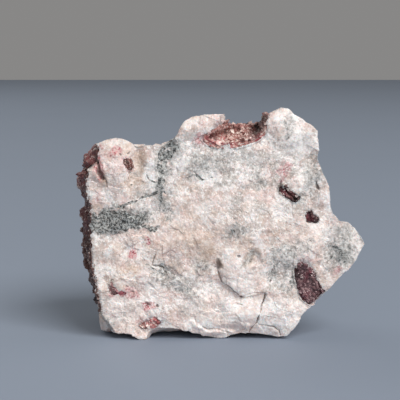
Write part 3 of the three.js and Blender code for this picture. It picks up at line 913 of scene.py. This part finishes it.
def crystal_arrays(spots, facing, size, length, rng):
    """Corner points, faces, tone and tip values of one rhomb crystal at each spot."""
    count = len(spots)
    axis = facing + LEAN * rng.normal(size=(count, 3))
    axis /= np.linalg.norm(axis, axis=1)[:, None]
    side = np.cross(axis, rng.normal(size=(count, 3)))
    side /= np.linalg.norm(side, axis=1)[:, None]
    other = np.cross(axis, side)
    radius = size * np.exp(SIZE_SPREAD * rng.normal(size=count)) / 2
    tall = radius * length * np.exp(HEIGHT_SPREAD * rng.normal(size=count))
    local = RHOMB_CORNERS[None]
    points = (
        spots[:, None]
        + local[..., 0:1] * (side * radius[:, None])[:, None]
        + local[..., 1:2] * (other * radius[:, None])[:, None]
        + local[..., 2:3] * (axis * tall[:, None])[:, None]
    )
    faces = RHOMB_FACES[None] + np.arange(count)[:, None, None] * len(RHOMB_CORNERS)
    shade = np.clip(0.8 * rng.random(count) + 0.1 + 0.45 * fractal(spots, 6, 140), 0, 1)
    tone = np.repeat(shade, len(RHOMB_CORNERS))
    tip = np.tile(np.array([0, 0, 0, 0, 0.5, 0.5, 0.5, 1.0]), count)
    return points.reshape(-1, 3), faces.reshape(-1, 4), tone, tip


def rim_share(node, points, normals):
    """1 on the surfaces where the crust's broken edge is flush with the block, 0 inside."""
    low, high = (np.array(corner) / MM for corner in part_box(node))
    if node == "left_face_crust":
        return np.zeros(len(points))
    facing_front = smooth(0.2, 0.6, -normals[:, 1]) * smooth(1.6, 0.9, points[:, 1] - low[1])
    if node != "top_pocket_crystals":
        return facing_front
    facing_up = smooth(0.2, 0.6, normals[:, 2]) * smooth(6, 4, high[2] - points[:, 2])
    return np.maximum(facing_front, facing_up)


def grown_crust(node, points, normals, seed, swell, knobs, fill, sink, bare, trims):
    """Points of a crust after it has swelled and grown knobs. Its flush edge sinks a little, so
    that the stone overhangs it, and fill brings its hollow forward to the mouth. It ends at each
    trim, a place on the front face and the way out from there."""
    low = np.array(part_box(node)[0]) / MM
    rim = rim_share(node, points, normals)
    free = np.array([STONE_TREE.find_nearest(Vector(p), 2.5)[3] or 2.5 for p in points])
    inside = smooth(0.35, 0.6, free)  # the side that faces the stone only fills its gap
    bumps = knobs * noise(points, 2.6, seed) + 0.5 * knobs * noise(points, 1.3, seed + 50)
    barren = patches(points, bare, BARE_SEED)
    growth = (swell + bumps - THINNED * barren) * inside + 0.3 * (1 - inside)
    sunk = (sink * (1 + 0.6 * noise(points, 1.7, seed + 70)) + BARE_SINK * barren) * rim
    moved = points + normals * (growth * (1 - rim) - sunk)[:, None]
    moved[:, 1] -= fill * (1 - barren) * np.clip(moved[:, 1] - low[1] - 0.4, 0, None) * inside
    for (x, z), (way_x, way_z) in trims:
        way = np.array([way_x, 0, way_z]) / math.hypot(way_x, way_z)
        beyond = np.clip((moved - [x, 0, z]) @ way, 0, None)
        moved -= 0.85 * beyond[:, None] * way
    return moved


def thinning(spots, taper):
    """How much smaller crystals are where a crust is thinner than taper, in mm."""
    if taper == 0:
        return np.ones(len(spots))
    thick = np.array([STONE_TREE.find_nearest(Vector(spot), taper)[3] or taper for spot in spots])
    return 0.55 + 0.45 * smooth(0.4, taper, thick)


def crystal_seats(ground, gap, rng):
    """Places for crystals on a crust, at least gap apart, and the way that each faces."""
    area = sum(p.area for p in ground.data.polygons) / MM**2
    spots, facing = free_surface(ground, int(6 * area / gap**2), rng)
    kept = thin_out(spots, gap)
    return spots[kept], facing[kept]


def druse_mesh(name, base, base_faces, crystals, red, dark):
    """One mesh of a crust's ground and its crystals, with the numbers its material reads."""
    points, faces, tone, tip = crystals
    mesh = bpy.data.meshes.new(name)
    all_points = np.concatenate([base, points])
    all_faces = base_faces + [tuple(f) for f in faces + len(base)]
    mesh.from_pydata((all_points * MM).tolist(), [], all_faces)
    add_value(mesh, "tone", np.concatenate([np.full(len(base), GAP_SHADE_TONE), tone]))
    add_value(mesh, "tip", np.concatenate([np.zeros(len(base)), tip]))
    add_value(mesh, "red", patches(all_points, red, 700))
    # dark: painted shade in the crust's deeper parts, with some dark specks of its own.
    add_value(mesh, "dark", patches(all_points, dark, 730))
    return mesh


def build_druse(
    node, name, slot, material, seed, size, length=1.0, spacing=0.62, clusters=0.2, taper=0.0,
    voxel=0.36, swell=0.3, knobs=0.3, fill=0.0, sink=0.7, red=(), dark=(), bare=(), trims=(),
):
    """A crust's rough ground, covered with crystals of about the given size that are length times
    as tall as wide and stand spacing sizes apart. Red, dark and bare are patches of it."""
    # The dark patches are painted shade where the crust lies deeper or turns from the light, with
    # some dark specks of its own.
    rng = np.random.default_rng(seed)
    piece = copy_of(node, name)
    spots, facing = crystal_seats(piece, spacing * size, rng)
    apply_modifier(piece, "REMESH", mode="VOXEL", voxel_size=voxel * MM)
    base, normals = mesh_arrays(piece.data)
    base_faces = [tuple(p.vertices) for p in piece.data.polygons]
    growth = (seed, swell, knobs, fill, sink, bare, trims)
    base = grown_crust(node, base, normals, *growth)
    spots = grown_crust(node, spots, facing, *growth) - ROOT * facing
    sizes = size * (1 - 0.6 * patches(spots, bare, BARE_SEED)) * thinning(spots, taper)
    sizes *= np.exp(clusters * fractal(spots, 6, seed + 90))
    crystals = crystal_arrays(spots, facing, sizes, length, rng)
    piece.data = druse_mesh(name, base, base_faces, crystals, red, dark)
    piece.data.materials.append(finishes[material])
    shade_flat(piece.data)
    place(piece, node)


# -------- build the specimen

build_stone()

# For each finish: the colour in the gaps, painted there as shade, and of the darker crystals; of
# the crystals; of their tips, also painted on the palest crystals as glints; and where they are
# red.
DRUSE_COLOURS = {
    "plum": ("52322d", "98706a", "dcc2b8", "ad5c60"),
    "rose": ("9c625c", "e8c0b6", "fffaf0", "c04a58"),
    "freckled": ("7a4a4c", "c9a5a0", "f0e2dc", "b03a58"),
    "maroon": ("46272d", "8a6066", "d2b6b6", "8c3a4a"),
    "dark": ("2e1a1a", "6a4646", "b8968e", "b8606c"),
}
finishes = {name: druse_material(name + "_druse", *row) for name, row in DRUSE_COLOURS.items()}
DRUSES = [
    {
        "node": "left_face_crust", "name": "left_side_druse", "slot": "plum_druse",
        "material": "plum", "size": 0.7, "length": 0.9, "spacing": 0.8, "clusters": 0.7,
        "taper": 2.6, "voxel": 0.6, "swell": -0.8, "knobs": 1.2,
        "red": [
            (-45.5, 64.5, 3.0, 5.5, 0, 0.6),
            (-49.2, 57.0, 2.6, 5.5, 0, 0.9),
            (-47.6, 42.0, 1.6, 8.0, 0, 0.5),
        ],
        "dark": [
            (-48.0, 38.0, 6.0, 15.0, 0, 0.45),
            (-44.0, 14.0, 8.0, 13.0, 0, 0.6),
            (-47.5, 58.5, 4.0, 5.5, 0, 0.5),
        ],
    },
    {
        "node": "top_pocket_crystals", "name": "top_pocket_druse", "slot": "rose_druse",
        "material": "rose", "size": 0.8, "length": 1.2, "knobs": 0.6,
        "red": [
            (-0.6, 70.2, 3.6, 1.6, -15, 0.9),
            (3.4, 68.2, 3.0, 1.0, 0, 0.8),
            (13.6, 70.6, 1.8, 1.2, 0, 1.0),
        ],
        "dark": [
            (14.4, 75.8, 1.7, 4.8, -28, 1.0),
            (16.6, 78.0, 1.6, 2.4, 0, 0.9),
            (10.9, 75.8, 1.5, 1.0, 0, 0.7),
            (2.2, 72.6, 0.5, 0.7, 0, 0.9),
        ],
        "bare": [(3.2, 77.4, 2.8, 2.4, 0, 1.0)],
        "trims": [((2.6, 76.4), (-0.5, 0.87))],
    },
    {
        "node": "lower_right_pocket_crystals", "name": "lower_right_druse", "slot": "plum_druse",
        "material": "maroon", "size": 0.6, "swell": 0.1, "fill": 0.8,
        "red": [(31.4, 23.6, 1.0, 2.4, -20, 0.9), (30.6, 16.0, 1.2, 2.6, -20, 0.5)],
        "dark": [(32.0, 21.0, 5.0, 9.0, -20, 0.25), (27.6, 23.5, 1.0, 4.0, -20, 0.7)],
        "bare": [(38.4, 16.0, 2.6, 7.0, -38, 1.0)],
        "trims": [((34.7, 15.7), (0.69, -0.73))],
    },
    {
        "node": "slot_vug_crystals", "name": "slot_vug_druse", "slot": "dark_druse",
        "material": "dark", "size": 0.55, "swell": 0.0, "knobs": 0.5, "fill": 0.45, "sink": 1.0,
        "red": [(23.8, 51.4, 2.4, 1.6, -40, 0.5)],
        "dark": [(26.6, 50.0, 1.6, 1.9, -30, 0.85), (24.8, 51.4, 3.8, 2.4, -40, 0.35)],
        "bare": [(21.8, 53.4, 1.4, 1.6, 0, 0.8)],
    },
    {
        "node": "right_vug_crystals", "name": "right_vug_druse", "slot": "dark_druse",
        "material": "dark", "size": 0.55, "swell": 0.0, "knobs": 0.5, "fill": 0.5, "sink": 0.9,
        "red": [(31.6, 43.0, 1.6, 1.8, 0, 0.6)],
        "dark": [(33.4, 42.9, 1.6, 0.8, -20, 0.4), (31.6, 44.8, 0.7, 0.7, 0, 0.6)],
    },
    {
        "node": "upper_left_vug_crystals", "name": "upper_left_vug_druse", "slot": "rose_druse",
        "material": "rose", "size": 0.5, "sink": 1.0,
        "dark": [(-31.2, 61.3, 1.5, 1.8, 0, 0.45), (-30.2, 60.6, 1.0, 1.0, 0, 1.0)],
    },
    {
        "node": "lower_left_vug_crystals", "name": "lower_left_vug_druse", "slot": "rose_druse",
        "material": "freckled", "size": 0.6, "swell": 0.6, "fill": 0.95,
        "red": [(-33.6, 17.6, 2.0, 1.6, 0, 0.9)],
        "dark": [
            (-37.0, 18.7, 0.7, 0.6, 0, 0.45),
            (-35.6, 17.2, 0.5, 0.6, 0, 0.8),
            (-33.4, 18.0, 0.5, 0.4, 0, 0.8),
        ],
    },
    {
        "node": "base_notch_crystals", "name": "base_notch_druse", "slot": "rose_druse",
        "material": "rose", "size": 0.6, "fill": 0.3,
        "red": [(-22.8, 6.4, 3.0, 2.0, 0, 1.0)],
        "dark": [(-21.0, 4.6, 0.8, 0.6, 0, 0.8), (-26.0, 6.0, 0.5, 0.4, 0, 0.9)],
    },
]
for number, druse in enumerate(DRUSES):
    build_druse(seed=100 + number, **druse)

# -------- floor, lights and camera

AIM = Vector((-6.27, -21.8, 49.5)) * MM  # what the middle of the view looks at
DISTANCE = 450 * MM
ELEVATION = math.radians(7)
FIELD = 138.4 * MM  # width of the view at the front face
SENSOR = 36.0
FLOOR_SIZE = 6
LIT = (0, 0, 0.04)  # what the lights look at, in metres
LIGHTS = [  # name, place in metres, power in watts, size in metres and tint
    ("key", (1.36, -2.04, 2.35), 105.0, 1.8, (1.0, 0.97, 0.95)),
    ("fill", (0.2, -2.0, 0.7), 7.0, 1.2, (1.0, 0.98, 0.97)),
    ("back", (-1.5, 1.5, 1.3), 11.0, 1.6, (1.0, 0.98, 0.95)),
]
ROOM_COLOUR, ROOM_STRENGTH = (0.65, 0.64, 0.63, 1), 0.38


def add_floor():
    """A plain blue-grey table top."""
    bpy.ops.mesh.primitive_grid_add(x_subdivisions=8, y_subdivisions=8, size=FLOOR_SIZE)
    floor = bpy.context.object
    floor.name = "floor"
    n = Nodes("pale_floor")
    n.put(n.shader.inputs["Base Color"], n.mix(n.noise(300), "8793a3", "8b96a6"))
    floor.data.materials.append(n.finish(Roughness=0.7))


def add_light(name, spot, power, size, tint):
    """A soft square light that looks at the object."""
    data = bpy.data.lights.new(name, "AREA")
    data.energy, data.size, data.color = power, size, tint
    light = bpy.data.objects.new(name, data)
    bpy.context.scene.collection.objects.link(light)
    light.location = spot
    light.rotation_euler = (Vector(LIT) - Vector(spot)).to_track_quat("-Z", "Y").to_euler()


def add_camera():
    """A camera at the photograph's viewing angle."""
    data = bpy.data.cameras.new("camera")
    data.sensor_width = SENSOR
    data.lens = SENSOR * DISTANCE / FIELD
    data.clip_start, data.clip_end = 0.01, 20
    camera = bpy.data.objects.new("camera", data)
    bpy.context.scene.collection.objects.link(camera)
    back = Vector((0, -math.cos(ELEVATION), math.sin(ELEVATION)))
    camera.location = AIM + back * DISTANCE
    camera.rotation_euler = (-back).to_track_quat("-Z", "Y").to_euler()
    bpy.context.scene.camera = camera


def add_room():
    """Even, dim light from all round, shown with plain screen colours."""
    world = bpy.data.worlds.new("room")
    world.use_nodes = True
    background = world.node_tree.nodes["Background"]
    background.inputs["Color"].default_value = ROOM_COLOUR
    background.inputs["Strength"].default_value = ROOM_STRENGTH
    bpy.context.scene.world = world
    bpy.context.scene.view_settings.view_transform = "Standard"


add_floor()
for light in LIGHTS:
    add_light(*light)
add_camera()
add_room()
